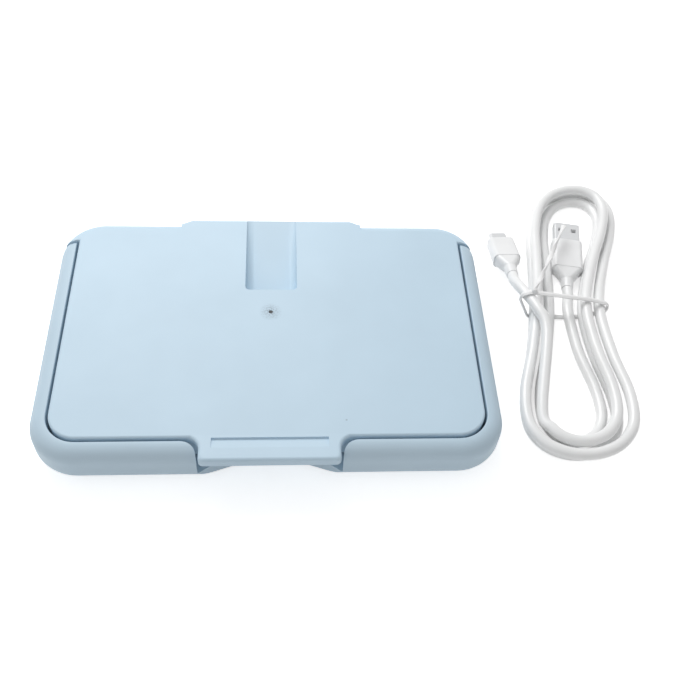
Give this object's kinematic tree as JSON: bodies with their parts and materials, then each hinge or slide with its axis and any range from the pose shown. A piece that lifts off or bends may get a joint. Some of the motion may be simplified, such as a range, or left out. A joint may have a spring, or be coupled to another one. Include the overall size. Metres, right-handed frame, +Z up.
{
  "type": "baby wipe warmer",
  "caption": "Flat wipe warmer: a rounded frame round a wipes opening, a hinged heated lid with a finger tab and a recess for its power plug, and a white lead in a tied hank.",
  "frame": {"origin": "on the resting plane, under the middle of the frame", "axes": "+X to the user's right, +Y from the finger tab to the hinge, +Z up out of the lid"},
  "size_m": [0.255, 0.1634, 0.0224],
  "materials": {
    "frame_plastic": "fine matt texture, rounded edges",
    "lid_plastic": "smooth satin, very fine texture",
    "seal_rubber": "soft silicone, matt",
    "foam_pad": "closed-cell foam with a tacky skin",
    "steel": "plated, satin",
    "plate_aluminium": "brushed and anodised",
    "inner_plastic": "plain moulded",
    "heater_foil": "polyimide film",
    "insulation": "needled felt",
    "board_green": "solder mask",
    "component_black": "moulded",
    "light_smoke": "smoked clear acrylic",
    "lead_red": "silicone wire",
    "cord_white": "glossy white sleeve",
    "plug_white": "glossy moulded overmould",
    "tie_white": "coated twist tie",
    "plug_metal": "plated steel shell"
  },
  "bodies": {
    "base": {"base_frame": "frame_plastic", "bottom_plate": "frame_plastic", "opening_seal": "seal_rubber", "adhesive_pad": "foam_pad", "base_screws": "steel", "hinge_pin": "steel", "usb_cable": "cord_white", "cable_tie": "tie_white", "usb_a_body": "plug_white", "usb_a_shell": "plug_metal", "usb_a_tongue": "plug_white", "usb_c_body": "plug_white", "usb_c_shell": "plug_metal"},
    "lid": {"lid_cover": "lid_plastic", "lid_inner_cover": "inner_plastic", "heating_plate": "plate_aluminium", "plate_rivets": "steel", "heater_film": "heater_foil", "insulation_sheet": "insulation", "circuit_board": "board_green", "board_parts": "component_black", "board_screws": "steel", "usb_socket": "plug_metal", "indicator_led": "light_smoke", "light_guide": "light_smoke", "temperature_sensor": "component_black", "thermal_fuse": "steel", "heater_leads": "lead_red", "lid_screws": "steel"}
  },
  "joints": [
    {"name": "lid_hinge", "type": "hinge", "parent": "base", "child": "lid", "pos_m": [0, 0.0592, 0.0079], "axis": [-1, 0, 0], "range_deg": [0, 105]}
  ]
}
